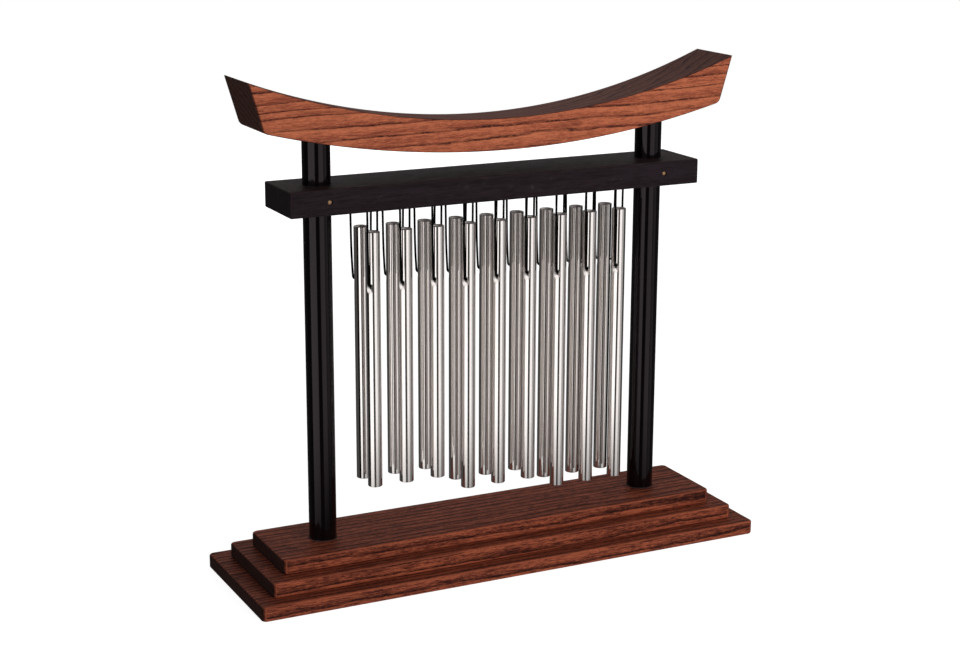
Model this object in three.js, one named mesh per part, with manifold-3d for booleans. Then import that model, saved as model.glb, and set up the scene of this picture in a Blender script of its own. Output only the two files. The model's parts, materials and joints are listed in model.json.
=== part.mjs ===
import * as THREE from 'three';
import { mergeVertices } from 'three/addons/utils/BufferGeometryUtils.js';
import Module from 'manifold-3d';

// Table chime: a wooden frame with a curved top beam, and two rows of metal
// tubes that hang from a black crossbar, each on a cord of its own.
// Millimetres, +Z up. The origin is the middle of the base's underside, on
// the table, and the front faces -Y.

// Seats
const SEAT_CLEARANCE = 0.3;
const BORE_OVERRUN = 2;
const SAME_POINT = 1e-4;

// Base, three stepped boards
const UPPER_BOARD_DEPTH = 50.8;
const UPPER_BOARD_OVERHANG = 32.65;
const BASE_STEP = 9.525;
const BOARD_THICKNESS = 8.2;
const BOARD_EDGE_ROUNDING = 1;
const BOARD_CORNER_STEPS = 3;
const EDGE_STEPS = 2;

// Posts
const POST_DIAMETER = 15.1;
const POST_END_CHAMFER = 0.8;
const POST_SIDES = 28;

// Screws that hold the posts from below
const SCREW_DIAMETER = 4;
const SCREW_HEAD_DIAMETER = 8;
const SCREW_HEAD_RIM = 0.6;
const SCREW_HEAD_SINK = 0.6;
const SCREW_BITE = 18;
const SCREW_POINT_LENGTH = 4;
const SCREW_SIDES = 16;

// Tubes
const TUBES_PER_LENGTH = 3;
const SHORT_TUBE_LENGTH = 142;
const MIDDLE_TUBE_LENGTH = 151;
const LONG_TUBE_LENGTH = 158;
const TUBE_DIAMETER = 7.94;
const TUBE_WALL = 0.9;
const TUBE_PITCH = 18.83;
const ROW_SPACING = 16;
const LEFT_END_GAP = 20.56;
const RIGHT_END_GAP = 15.1;
const TUBE_FLOOR_GAP = 12;
const TUBE_SIDES = 20;

// Cross holes, close to the node where a ringing tube stands still, with
// flared mouths that spare the cord
const CROSS_HOLE_SHARE = 0.207;
const CROSS_HOLE_DIAMETER = 2.4;
const CROSS_HOLE_MOUTH = 5.2;
const CROSS_HOLE_MOUTH_ANGLE = 105;
const CROSS_HOLE_SIDES = 10;

// Cords
const CORD_DIAMETER = 1;
const CORD_TURN = 40;
const CORD_DROP = 12.6;
const CORD_SPLAY = 2.1;
const CORD_WALL_GAP = 0.35;
const CORD_LIFT_GAP = 0.4;
const CORD_BEND_RADIUS = 1.2;
const CORD_BEND_STEPS = 3;
const CORD_END_GAP = 0.35;
const CORD_SIDES = 8;
const CORD_SOCKET_DEPTH = 8;

// Crossbar
const CROSSBAR_THICKNESS = 13.9;
const CROSSBAR_MARGIN = 11.05;
const CROSSBAR_OVERHANG = 22;
const CROSSBAR_EDGE_ROUNDING = 0.8;

// Pins that hold the crossbar to the posts
const PIN_DIAMETER = 1.5;
const PIN_HEAD_DIAMETER = 2.5;
const PIN_HEAD_THICKNESS = 0.8;
const PIN_HEAD_SINK = 0.3;
const PIN_BITE = 3;
const PIN_POINT_LENGTH = 1.5;
const PIN_SIDES = 12;

// Top beam
const BEAM_GAP = 13.3;
const BEAM_DEPTH = 37.4;
const BEAM_THICKNESS = 16.4;
const BEAM_UNDERSIDE_RADIUS = 530;
const BEAM_TOP_RADIUS = 388;
const BEAM_LOWER_OVERHANG = 35.1;
const BEAM_UPPER_OVERHANG = 42.9;
const BEAM_CORNER_SOFTENING = 3;
const BEAM_EDGE_ROUNDING = 0.8;
const BEAM_ARC_STEPS = 12;
const BEAM_SOCKET_DEPTH = 10;

// Places that follow from the sizes above
const tubeLengths = [SHORT_TUBE_LENGTH, MIDDLE_TUBE_LENGTH, LONG_TUBE_LENGTH];
const tubesInRow = TUBES_PER_LENGTH * tubeLengths.length;
const rowLength = (tubesInRow - 1) * TUBE_PITCH;
const postRadius = POST_DIAMETER / 2;
const postSpacing = POST_DIAMETER + LEFT_END_GAP + rowLength + RIGHT_END_GAP;
const postX = postSpacing / 2;
const firstTubeX = -postX + postRadius + LEFT_END_GAP;
const postBottom = 2 * BOARD_THICKNESS;
const baseHeight = postBottom + BOARD_THICKNESS;
const tubeTop = baseHeight + TUBE_FLOOR_GAP + Math.max(...tubeLengths);
const crossbarBottom = tubeTop + CORD_DROP;
const crossbarDepth = ROW_SPACING + 2 * CROSSBAR_MARGIN;
const beamBottom = crossbarBottom + CROSSBAR_THICKNESS + BEAM_GAP;
const cordReach = TUBE_DIAMETER / 2 + CORD_SPLAY;

const MATERIALS = {
  base_wood: new THREE.MeshStandardMaterial({ color: 0x6e3326, roughness: 0.45, metalness: 0 }),
  beam_wood: new THREE.MeshStandardMaterial({ color: 0x96533f, roughness: 0.5, metalness: 0 }),
  black_wood: new THREE.MeshStandardMaterial({ color: 0x1d191b, roughness: 0.45, metalness: 0 }),
  black_lacquer: new THREE.MeshStandardMaterial({ color: 0x0a0809, roughness: 0.2, metalness: 0 }),
  tube_metal: new THREE.MeshStandardMaterial({ color: 0xc9c8c6, roughness: 0.18, metalness: 1 }),
  cord: new THREE.MeshStandardMaterial({ color: 0x0c0a0b, roughness: 0.8, metalness: 0 }),
  brass: new THREE.MeshStandardMaterial({ color: 0xb08a4a, roughness: 0.35, metalness: 1 }),
  screw_steel: new THREE.MeshStandardMaterial({ color: 0x9a9a98, roughness: 0.35, metalness: 1 }),
};

const wasm = await Module();
wasm.setup();

// A closed three.js geometry as a solid that can be cut.
function solid(geometry) {
  const bare = geometry.clone();
  bare.deleteAttribute('normal');
  bare.deleteAttribute('uv');
  const merged = mergeVertices(bare, SAME_POINT);
  const mesh = new wasm.Mesh({
    numProp: 3,
    vertProperties: new Float32Array(merged.attributes.position.array),
    triVerts: new Uint32Array(merged.index.array),
  });
  return new wasm.Manifold(mesh);
}

function geometryOf(cutSolid) {
  const mesh = cutSolid.getMesh();
  const geometry = new THREE.BufferGeometry();
  geometry.setAttribute('position', new THREE.BufferAttribute(mesh.vertProperties, 3));
  geometry.setIndex(new THREE.BufferAttribute(mesh.triVerts, 1));
  geometry.computeVertexNormals();
  return geometry;
}

// What is left of a geometry once the cutters are taken out of it.
function cut(geometry, cutters) {
  const left = cutters.reduce((body, cutter) => body.subtract(solid(cutter)), solid(geometry));
  return geometryOf(left);
}

// A solid turned about the Z axis, from [radius, height] points listed upwards on the outside.
function turned(profile, sides) {
  const points = profile.map(([radius, height]) => new THREE.Vector2(radius, height));
  const geometry = new THREE.LatheGeometry(points, sides);
  geometry.rotateX(Math.PI / 2);
  return geometry;
}

// A round cutter or rod that stands on Z from one height to another.
function upright(radius, bottom, top, sides, x = 0, y = 0) {
  const geometry = turned([[0, bottom], [radius, bottom], [radius, top], [0, top]], sides);
  geometry.translate(x, y, 0);
  return geometry;
}

function onBothPosts(make) {
  return [-postX, postX].map(make);
}

// A flat board with all its edges rounded, centred on Z, with its underside at height 0.
function roundedBoard(length, depth, thickness, rounding) {
  const halfLength = length / 2;
  const halfDepth = depth / 2;
  const outline = new THREE.Shape();
  outline.moveTo(-halfLength + rounding, -halfDepth);
  outline.lineTo(halfLength - rounding, -halfDepth);
  outline.quadraticCurveTo(halfLength, -halfDepth, halfLength, -halfDepth + rounding);
  outline.lineTo(halfLength, halfDepth - rounding);
  outline.quadraticCurveTo(halfLength, halfDepth, halfLength - rounding, halfDepth);
  outline.lineTo(-halfLength + rounding, halfDepth);
  outline.quadraticCurveTo(-halfLength, halfDepth, -halfLength, halfDepth - rounding);
  outline.lineTo(-halfLength, -halfDepth + rounding);
  outline.quadraticCurveTo(-halfLength, -halfDepth, -halfLength + rounding, -halfDepth);
  const bevel = rounding / 2;
  const geometry = new THREE.ExtrudeGeometry(outline, {
    depth: thickness - 2 * bevel,
    curveSegments: BOARD_CORNER_STEPS,
    bevelEnabled: true,
    bevelSegments: EDGE_STEPS,
    bevelSize: bevel,
    bevelThickness: bevel,
    bevelOffset: -bevel,
  });
  geometry.translate(0, 0, bevel);
  return geometry;
}

function baseBoard(stepsOut) {
  const length = postSpacing + 2 * UPPER_BOARD_OVERHANG + 2 * stepsOut * BASE_STEP;
  const depth = UPPER_BOARD_DEPTH + 2 * stepsOut * BASE_STEP;
  return roundedBoard(length, depth, BOARD_THICKNESS, BOARD_EDGE_ROUNDING);
}

// The screw's outline, with its head at the bottom, grown by a clearance where it is a cutter.
function screwProfile(clearance) {
  const shank = SCREW_DIAMETER / 2 + clearance;
  const head = SCREW_HEAD_DIAMETER / 2 + clearance;
  const bottom = clearance > 0 ? -BORE_OVERRUN : SCREW_HEAD_SINK;
  const rimTop = SCREW_HEAD_SINK + SCREW_HEAD_RIM + clearance;
  const tip = postBottom + SCREW_BITE + clearance;
  return [
    [0, bottom],
    [head, bottom],
    [head, rimTop],
    [shank, rimTop + head - shank],
    [shank, tip - SCREW_POINT_LENGTH],
    [0, tip],
  ];
}

function screwBores(below) {
  return onBothPosts((x) => {
    const bore = turned(screwProfile(SEAT_CLEARANCE), SCREW_SIDES);
    bore.translate(x, 0, -below);
    return bore;
  });
}

function lowerBoard() {
  return cut(baseBoard(2), screwBores(0));
}

function middleBoard() {
  return cut(baseBoard(1), screwBores(BOARD_THICKNESS));
}

function upperBoard() {
  const radius = postRadius + SEAT_CLEARANCE;
  const bores = onBothPosts((x) => {
    return upright(radius, -BORE_OVERRUN, BOARD_THICKNESS + BORE_OVERRUN, POST_SIDES, x);
  });
  return cut(baseBoard(0), bores);
}

// Height of the top beam's curved underside, at a distance along it from the middle.
function beamUnderside(x) {
  const radius = BEAM_UNDERSIDE_RADIUS;
  return beamBottom + radius - Math.sqrt(radius * radius - x * x);
}

function beamTopSide(x) {
  const radius = BEAM_TOP_RADIUS;
  return beamBottom + BEAM_THICKNESS + radius - Math.sqrt(radius * radius - x * x);
}

const postTop = beamUnderside(postX) + BEAM_SOCKET_DEPTH;
const pinHeight = crossbarBottom + CROSSBAR_THICKNESS / 2;

// The pin's outline, head first from the crossbar's face, grown where it is a cutter.
function pinGeometry(clearance) {
  const shank = PIN_DIAMETER / 2 + clearance;
  const head = PIN_HEAD_DIAMETER / 2 + clearance;
  const start = clearance > 0 ? -BORE_OVERRUN : PIN_HEAD_SINK;
  const headEnd = PIN_HEAD_SINK + PIN_HEAD_THICKNESS + clearance;
  const tip = crossbarDepth / 2 + PIN_BITE + clearance;
  const geometry = turned([
    [0, start],
    [head, start],
    [head, headEnd],
    [shank, headEnd],
    [shank, tip - PIN_POINT_LENGTH],
    [0, tip],
  ], PIN_SIDES);
  geometry.rotateX(-Math.PI / 2);
  geometry.translate(0, -crossbarDepth / 2, pinHeight);
  return geometry;
}

function post() {
  const chamfer = POST_END_CHAMFER;
  const body = turned([
    [0, postBottom],
    [postRadius - chamfer, postBottom],
    [postRadius, postBottom + chamfer],
    [postRadius, postTop - chamfer],
    [postRadius - chamfer, postTop],
    [0, postTop],
  ], POST_SIDES);
  const pilot = turned(screwProfile(SEAT_CLEARANCE), SCREW_SIDES);
  return cut(body, [pilot, pinGeometry(SEAT_CLEARANCE)]);
}

// The places where the tubes hang: row name, side of the row, number, tube length and spot.
function hangingPlaces() {
  const places = [];
  for (const [row, side] of [['front', -1], ['back', 1]]) {
    for (let index = 0; index < tubesInRow; index += 1) {
      places.push({
        row,
        number: index + 1,
        length: tubeLengths[Math.floor(index / TUBES_PER_LENGTH)],
        x: firstTubeX + index * TUBE_PITCH,
        y: side * ROW_SPACING / 2,
        turn: -side * THREE.MathUtils.degToRad(CORD_TURN),
      });
    }
  }
  return places;
}

// The blind holes in the crossbar's underside, two for each cord.
function cordSockets() {
  const radius = CORD_DIAMETER / 2 + SEAT_CLEARANCE;
  const sockets = [];
  for (const place of hangingPlaces()) {
    for (const end of [-cordReach, cordReach]) {
      const x = place.x + end * Math.cos(place.turn);
      const y = place.y + end * Math.sin(place.turn);
      sockets.push(upright(radius, -BORE_OVERRUN, CORD_SOCKET_DEPTH, CORD_SIDES, x, y));
    }
  }
  return sockets;
}

function crossbar() {
  const length = postSpacing + 2 * CROSSBAR_OVERHANG;
  const bar = roundedBoard(length, crossbarDepth, CROSSBAR_THICKNESS, CROSSBAR_EDGE_ROUNDING);
  const radius = postRadius + SEAT_CLEARANCE;
  const postBores = onBothPosts((x) => {
    return upright(radius, -BORE_OVERRUN, CROSSBAR_THICKNESS + BORE_OVERRUN, POST_SIDES, x);
  });
  const pinBores = onBothPosts((x) => {
    const bore = pinGeometry(SEAT_CLEARANCE);
    bore.translate(x, 0, -crossbarBottom);
    return bore;
  });
  return cut(bar, [...postBores, ...pinBores, ...cordSockets()]);
}

// The beam's face: two arcs that rise towards slanted ends, with the lower corners softened.
function beamOutline() {
  const lowerX = postX + BEAM_LOWER_OVERHANG;
  const upperX = postX + BEAM_UPPER_OVERHANG;
  const lower = new THREE.Vector2(lowerX, beamUnderside(lowerX));
  const upper = new THREE.Vector2(upperX, beamTopSide(upperX));
  const arcEndX = lowerX - BEAM_CORNER_SOFTENING;
  const lowerSweep = Math.asin(arcEndX / BEAM_UNDERSIDE_RADIUS);
  const upperSweep = Math.asin(upperX / BEAM_TOP_RADIUS);
  const slope = upper.clone().sub(lower).setLength(BEAM_CORNER_SOFTENING);
  const down = -Math.PI / 2;
  const lowerCentre = beamBottom + BEAM_UNDERSIDE_RADIUS;
  const upperCentre = beamBottom + BEAM_THICKNESS + BEAM_TOP_RADIUS;
  const outline = new THREE.Shape();
  outline.absarc(0, lowerCentre, BEAM_UNDERSIDE_RADIUS, down - lowerSweep, down + lowerSweep, false);
  outline.quadraticCurveTo(lower.x, lower.y, lower.x + slope.x, lower.y + slope.y);
  outline.lineTo(upper.x, upper.y);
  outline.absarc(0, upperCentre, BEAM_TOP_RADIUS, down + upperSweep, down - upperSweep, true);
  outline.lineTo(-lower.x - slope.x, lower.y + slope.y);
  outline.quadraticCurveTo(-lower.x, lower.y, -arcEndX, beamUnderside(arcEndX));
  return outline;
}

function topBeam() {
  const rounding = BEAM_EDGE_ROUNDING;
  const geometry = new THREE.ExtrudeGeometry(beamOutline(), {
    depth: BEAM_DEPTH - 2 * rounding,
    curveSegments: BEAM_ARC_STEPS,
    bevelEnabled: true,
    bevelSegments: EDGE_STEPS,
    bevelSize: rounding,
    bevelThickness: rounding,
    bevelOffset: -rounding,
  });
  geometry.rotateX(Math.PI / 2);
  geometry.translate(0, BEAM_DEPTH / 2 - rounding, 0);
  const radius = postRadius + SEAT_CLEARANCE;
  const sockets = onBothPosts((x) => {
    return upright(radius, crossbarBottom, postTop + SEAT_CLEARANCE, POST_SIDES, x);
  });
  return cut(geometry, sockets);
}

// The cross drill, along Z, with its flared mouths where it leaves the tube.
function crossDrill() {
  const bore = CROSS_HOLE_DIAMETER / 2;
  const surface = TUBE_DIAMETER / 2;
  const slope = 1 / Math.tan(THREE.MathUtils.degToRad(CROSS_HOLE_MOUTH_ANGLE / 2));
  const flareStart = surface - (CROSS_HOLE_MOUTH / 2 - bore) * slope;
  const end = surface + BORE_OVERRUN;
  const wide = bore + (end - flareStart) / slope;
  return turned([
    [0, -end],
    [wide, -end],
    [bore, -flareStart],
    [bore, flareStart],
    [wide, end],
    [0, end],
  ], CROSS_HOLE_SIDES);
}

// A tube that hangs from height 0, cross-drilled along X.
function tube(length) {
  const outer = TUBE_DIAMETER / 2;
  const inner = outer - TUBE_WALL;
  const pipe = turned([
    [inner, -length],
    [outer, -length],
    [outer, 0],
    [inner, 0],
    [inner, -length],
  ], TUBE_SIDES);
  const drill = crossDrill();
  drill.rotateY(Math.PI / 2);
  drill.translate(0, 0, -length * CROSS_HOLE_SHARE);
  return cut(pipe, [drill]);
}

// A cord's route in the X-Z plane, kept as the corner points that its bends need.
class CordRoute extends THREE.Curve {
  constructor(points) {
    super();
    this.points = points;
  }

  getPoint(t, target = new THREE.Vector3()) {
    const place = t * (this.points.length - 1);
    const index = Math.min(Math.floor(place), this.points.length - 2);
    return target.lerpVectors(this.points[index], this.points[index + 1], place - index);
  }

  getPointAt(u, target) {
    return this.getPoint(u, target);
  }

  getTangentAt(u, target = new THREE.Vector3()) {
    const last = this.points.length - 1;
    const index = Math.round(u * last);
    const before = this.points[Math.max(index - 1, 0)];
    const after = this.points[Math.min(index + 1, last)];
    return target.subVectors(after, before).normalize();
  }
}

// Down from the crossbar outside the tube, a bend, through both cross holes, and up again.
// Height 0 is the tube's top end.
function cordPoints(length) {
  const holeCentre = -length * CROSS_HOLE_SHARE;
  const cordRadius = CORD_DIAMETER / 2;
  const runHeight = holeCentre + CROSS_HOLE_DIAMETER / 2 - CORD_LIFT_GAP - cordRadius;
  const bendX = TUBE_DIAMETER / 2 + CORD_WALL_GAP + cordRadius - CORD_BEND_RADIUS;
  const bendHeight = runHeight + CORD_BEND_RADIUS;
  const top = new THREE.Vector2(cordReach, CORD_DROP - CORD_END_GAP);
  const across = top.x - bendX;
  const rise = top.y - bendHeight;
  const lean = Math.atan2(across, rise) - Math.asin(CORD_BEND_RADIUS / Math.hypot(across, rise));
  const half = [];
  for (let step = 0; step <= CORD_BEND_STEPS; step += 1) {
    const angle = (step / CORD_BEND_STEPS) * (Math.PI / 2 - lean) - Math.PI / 2;
    const x = bendX + CORD_BEND_RADIUS * Math.cos(angle);
    const z = bendHeight + CORD_BEND_RADIUS * Math.sin(angle);
    half.push(new THREE.Vector3(x, 0, z));
  }
  half.push(new THREE.Vector3(top.x, 0, top.y));
  const mirrored = half.map((point) => new THREE.Vector3(-point.x, 0, point.z));
  return [...mirrored.reverse(), ...half];
}

function cord(length) {
  const route = new CordRoute(cordPoints(length));
  const section = new THREE.Shape();
  for (let side = 0; side < CORD_SIDES; side += 1) {
    const angle = (side / CORD_SIDES) * 2 * Math.PI;
    const x = Math.cos(angle) * CORD_DIAMETER / 2;
    const y = Math.sin(angle) * CORD_DIAMETER / 2;
    if (side === 0) section.moveTo(x, y);
    else section.lineTo(x, y);
  }
  return new THREE.ExtrudeGeometry(section, {
    steps: route.points.length - 1,
    extrudePath: route,
    bevelEnabled: false,
  });
}

const part = new THREE.Group();

function add(parent, name, geometry, material, x = 0, y = 0, z = 0) {
  const mesh = new THREE.Mesh(geometry, material);
  mesh.name = name;
  mesh.position.set(x, y, z);
  parent.add(mesh);
}

add(part, 'base_board_lower', lowerBoard(), MATERIALS.base_wood);
add(part, 'base_board_middle', middleBoard(), MATERIALS.base_wood, 0, 0, BOARD_THICKNESS);
add(part, 'base_board_upper', upperBoard(), MATERIALS.base_wood, 0, 0, 2 * BOARD_THICKNESS);
for (const [side, x] of [['left', -postX], ['right', postX]]) {
  add(part, `post_${side}`, post(), MATERIALS.black_lacquer, x);
  add(part, `post_screw_${side}`, turned(screwProfile(0), SCREW_SIDES), MATERIALS.screw_steel, x);
  add(part, `crossbar_pin_${side}`, pinGeometry(0), MATERIALS.brass, x);
}
add(part, 'crossbar', crossbar(), MATERIALS.black_wood, 0, 0, crossbarBottom);
add(part, 'top_beam', topBeam(), MATERIALS.beam_wood);

// Each tube and its cord share a group, turned so that the cord's plane makes the zigzag.
for (const { row, number, length, x, y, turn } of hangingPlaces()) {
  const hanger = new THREE.Group();
  hanger.position.set(x, y, tubeTop);
  hanger.rotation.z = turn;
  add(hanger, `chime_tube_${row}_${number}`, tube(length), MATERIALS.tube_metal);
  add(hanger, `cord_${row}_${number}`, cord(length), MATERIALS.cord);
  part.add(hanger);
}

export default part;
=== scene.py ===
import json
import math

import bmesh
import bpy
from bpy.props import FloatProperty, FloatVectorProperty, IntProperty, PointerProperty
from bpy.types import Operator, Panel, PropertyGroup
from mathutils import Matrix, Vector, noise


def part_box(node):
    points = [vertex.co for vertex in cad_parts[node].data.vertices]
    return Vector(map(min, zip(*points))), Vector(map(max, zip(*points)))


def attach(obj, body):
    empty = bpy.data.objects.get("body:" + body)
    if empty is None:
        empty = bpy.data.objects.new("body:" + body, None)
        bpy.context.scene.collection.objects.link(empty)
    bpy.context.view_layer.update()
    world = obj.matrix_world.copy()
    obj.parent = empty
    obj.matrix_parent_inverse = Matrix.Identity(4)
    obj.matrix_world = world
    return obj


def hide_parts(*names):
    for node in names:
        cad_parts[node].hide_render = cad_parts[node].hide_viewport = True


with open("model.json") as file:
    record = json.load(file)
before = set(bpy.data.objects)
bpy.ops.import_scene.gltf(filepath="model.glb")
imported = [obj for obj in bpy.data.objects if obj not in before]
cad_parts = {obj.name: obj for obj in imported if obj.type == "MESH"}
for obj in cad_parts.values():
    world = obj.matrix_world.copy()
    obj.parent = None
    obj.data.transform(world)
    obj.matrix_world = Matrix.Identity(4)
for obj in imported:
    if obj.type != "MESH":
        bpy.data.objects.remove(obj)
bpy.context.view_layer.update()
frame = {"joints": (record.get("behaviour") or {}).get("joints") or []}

bl_info = {
    "name": "Table Chime",
    "version": (1, 0, 0),
    "blender": (4, 5, 0),
    "location": "3D View > Sidebar > Chime",
    "description": "Dresses a table chime's frame in stained ash, black lacquer, metal and cord",
    "category": "Object",
}

MM = 0.001
BODY = "frame"
TUBES = [(row, number) for row in ("front", "back") for number in range(1, 10)]

# Fits and small sizes

PAST = 1 * MM  # how far a cutter reaches past the piece that it cuts
CORD_TUCK = 0.4 * MM
CORD_HOLE_DEPTH = 8 * MM
CORD_HOLE_CLEARANCE = 0.34 * MM
PIN_CLEARANCE = 0.15 * MM
PIN_HEAD_HEIGHT = 0.8 * MM
PIN_CROWN = 0.18 * MM
PIN_POINT = 1.5 * MM
PIN_SHANK_SHARE = 0.6
SCREW_RIM = 0.6 * MM
SCREW_POINT = 4 * MM
POST_EASE = 0.8 * MM
BEAD_WIDTH = 0.35 * MM
BEAD_LUMP = 0.8 * MM

# Reflector cards: name, first and last azimuth in degrees, strength

CARDS = (
    ("left_card", -88, -36, 1.35),
    ("right_card", -6, 34, 1.05),
    ("side_card", 38, 66, 0.45),
)
CARD_RADIUS = 1.6
CARD_FOOT = -1.6
CARD_HEIGHT = 2.6
CARD_DARK_BELOW = -0.62
CARD_FULL_ABOVE = -0.37
LAMP_DISTANCE = 1.6
LAMP_TARGET = Vector((0, 0, 0.13))


# Places taken from the frame

def centre_of(node):
    low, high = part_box(node)
    return (low + high) / 2


def joint_named(name):
    return next(joint for joint in frame["joints"] if joint["name"] == name)


POST_NODES = ("post_left", "post_right")
POST_PLACES = [centre_of(node) for node in POST_NODES]
POST_RADIUS = (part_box("post_left")[1].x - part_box("post_left")[0].x) / 2
POST_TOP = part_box("post_left")[1].z
BAR_LOW, BAR_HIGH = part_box("crossbar")
BEAM_LOW, BEAM_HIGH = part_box("top_beam")


def srgb(red, green, blue):
    """A colour as a screen shows it, 0 to 255, as the linear values that shaders read."""
    def linear(value):
        share = value / 255
        return share / 12.92 if share <= 0.04045 else ((share + 0.055) / 1.055) ** 2.4
    return linear(red), linear(green), linear(blue)


def length_prop(name, description, default):
    return FloatProperty(name=name, description=description, default=default, unit="LENGTH", precision=5)


def colour_prop(name, description, default):
    return FloatVectorProperty(
        name=name, description=description, default=default, subtype="COLOR", size=3, min=0, max=1
    )


class ChimeWoodSettings(PropertyGroup):
    """Sizes and stains of the wooden pieces, and the painted shade and sheen on the tops of the beam and
    crossbar.
    """

    board_rounding: length_prop("Board edges", "Rounding of the base boards' edges", 1.2 * MM)
    board_corner: length_prop(
        "Board corners", "Rounding of the base boards' corners, seen from above", 3.0 * MM
    )
    bar_rounding: length_prop("Crossbar edges", "Rounding of the crossbar's edges", 0.8 * MM)
    beam_rounding: length_prop("Beam edges", "Rounding of the top beam's edges", 0.8 * MM)
    beam_corner: length_prop("Beam corners", "Softening of the beam's two lower corners", 3.0 * MM)
    underside_radius: length_prop("Underside arc", "Radius of the beam's curved underside", 530 * MM)
    top_radius: length_prop("Top arc", "Radius of the beam's curved top", 388 * MM)
    beam_thickness: length_prop("Beam thickness", "Height of the beam at its middle", 16.4 * MM)
    top_slope: length_prop(
        "Top slope", "How much lower the middle of the top lies at the back than at the front", 2.2 * MM
    )
    lower_reach: length_prop("Lower reach", "Half length of the beam along its underside", 135.8 * MM)
    bore_clearance: length_prop("Bore clearance", "Gap between a post and its bore", 0.2 * MM)
    beam_pale: colour_prop("Beam pale", "Pale wood between the grain lines", srgb(206, 116, 78))
    beam_body: colour_prop("Beam body", "Main stain of the top beam", srgb(154, 75, 51))
    # Also used for the painted shade line along the beam's rounded edges.
    beam_dark: colour_prop("Beam dark", "Stain held by the beam's open pores", srgb(34, 11, 14))
    # Painted shade: the beam's upper side is the same stain, painted darker where less light falls on it.
    beam_top_shade: colour_prop("Beam top", "Duller stain of the beam's upper side", srgb(42, 31, 36))
    base_pale: colour_prop("Base pale", "Pale wood of the base", srgb(178, 93, 64))
    base_body: colour_prop("Base body", "Main stain of the base", srgb(78, 31, 24))
    base_dark: colour_prop("Base dark", "Stain held by the base's open pores", srgb(24, 8, 8))
    black_stain: colour_prop("Black stain", "Stain of the crossbar", srgb(27, 18, 23))
    # Painted sheen: the crossbar's upper side is lightened as if it reflected the bright surroundings.
    black_top_sheen: colour_prop("Black top", "Browner stain of the crossbar's upper side", srgb(60, 44, 43))
    black_rubbed: colour_prop("Black rubbed", "Rubbed places of the crossbar", srgb(58, 50, 52))
    lacquer: colour_prop("Lacquer", "Gloss lacquer of the posts", srgb(7, 4, 5))


class ChimeTubeSettings(PropertyGroup):
    """Sizes and metal of the tubes, and of their cords."""

    wall: length_prop("Wall", "Thickness of the tube's wall", 0.9 * MM)
    end_break: length_prop("End break", "Chamfer on the tube's cut ends", 0.22 * MM)
    hole_diameter: length_prop("Cross hole", "Diameter of the cross holes", 2.0 * MM)
    hole_mouth: length_prop("Hole mouth", "Height of a cross hole's flared mouth", 6.2 * MM)
    mouth_drop: length_prop(
        "Mouth drop", "How much lower a flared mouth is centred than its hole", 1.1 * MM
    )
    mouth_angle: FloatProperty(
        name="Mouth angle", description="Angle of the flared mouths", default=math.radians(140),
        unit="ROTATION"
    )
    cord_rise: length_prop(
        "Cord rise", "Height of the cord above the middle of its cross hole", 0.2 * MM
    )
    sides: IntProperty(name="Sides", description="Flat steps round a tube", default=64, min=16)
    metal: colour_prop("Tube metal", "Polished tube metal", srgb(245, 238, 234))
    bore_grey: colour_prop("Bore", "Dull metal inside a tube", srgb(244, 236, 232))
    cord_diameter: length_prop("Cord", "Diameter of a cord", 1.3 * MM)
    cord_bow: length_prop("Cord bow", "How far a cord's stiffness bows it outwards", 0.5 * MM)
    cord_twist: length_prop("Cord twist", "Length of one full turn of the cord's strands", 3.2 * MM)
    cord_colour: colour_prop("Cord colour", "Black cord", srgb(4, 3, 3))


class ChimeStageSettings(PropertyGroup):
    """Camera, lamps and floor."""

    camera_place: FloatVectorProperty(
        name="Camera", description="Where the camera stands", default=(-0.4663, -0.9377, 0.4050),
        subtype="TRANSLATION", size=3
    )
    camera_yaw: FloatProperty(
        name="Yaw", description="Turn of the camera to the right", default=math.radians(26.197),
        unit="ROTATION"
    )
    camera_pitch: FloatProperty(
        name="Pitch", description="Tilt of the camera", default=math.radians(-14.690), unit="ROTATION"
    )
    camera_roll: FloatProperty(
        name="Roll", description="Lean of the camera", default=math.radians(0.179), unit="ROTATION"
    )
    focal_length: FloatProperty(
        name="Focal length", description="On a sensor 36 mm wide, in millimetres", default=72.80, min=1
    )
    key_power: FloatProperty(name="Key lamp", description="Power of the front lamp in watts", default=14.0)
    fill_power: FloatProperty(name="Back lamp", description="Power of the rear lamp in watts", default=6.0)
    sky: FloatProperty(name="Surroundings", description="Even light from all round", default=0.16)
    floor_colour: colour_prop("Floor", "Pale floor", (0.80, 0.80, 0.80))
    floor_glow: FloatProperty(
        name="Floor glow", description="Whiteness that the camera sees", default=0.93
    )
    shadow_depth: FloatProperty(
        name="Shadow depth", description="Share of the floor's light that shadows take", default=0.55
    )


# Shader writing

class Value:
    """A number in a shader, which can be added, subtracted, multiplied and so on."""

    def __init__(self, finish, socket):
        self.finish = finish
        self.socket = socket

    def __add__(self, other):
        return self.finish.math("ADD", self, other)

    def __radd__(self, other):
        return self.finish.math("ADD", other, self)

    def __sub__(self, other):
        return self.finish.math("SUBTRACT", self, other)

    def __rsub__(self, other):
        return self.finish.math("SUBTRACT", other, self)

    def __mul__(self, other):
        return self.finish.math("MULTIPLY", self, other)

    def __rmul__(self, other):
        return self.finish.math("MULTIPLY", other, self)

    def __truediv__(self, other):
        return self.finish.math("DIVIDE", self, other)

    def __rtruediv__(self, other):
        return self.finish.math("DIVIDE", other, self)

    def __pow__(self, other):
        return self.finish.math("POWER", self, other)


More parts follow.
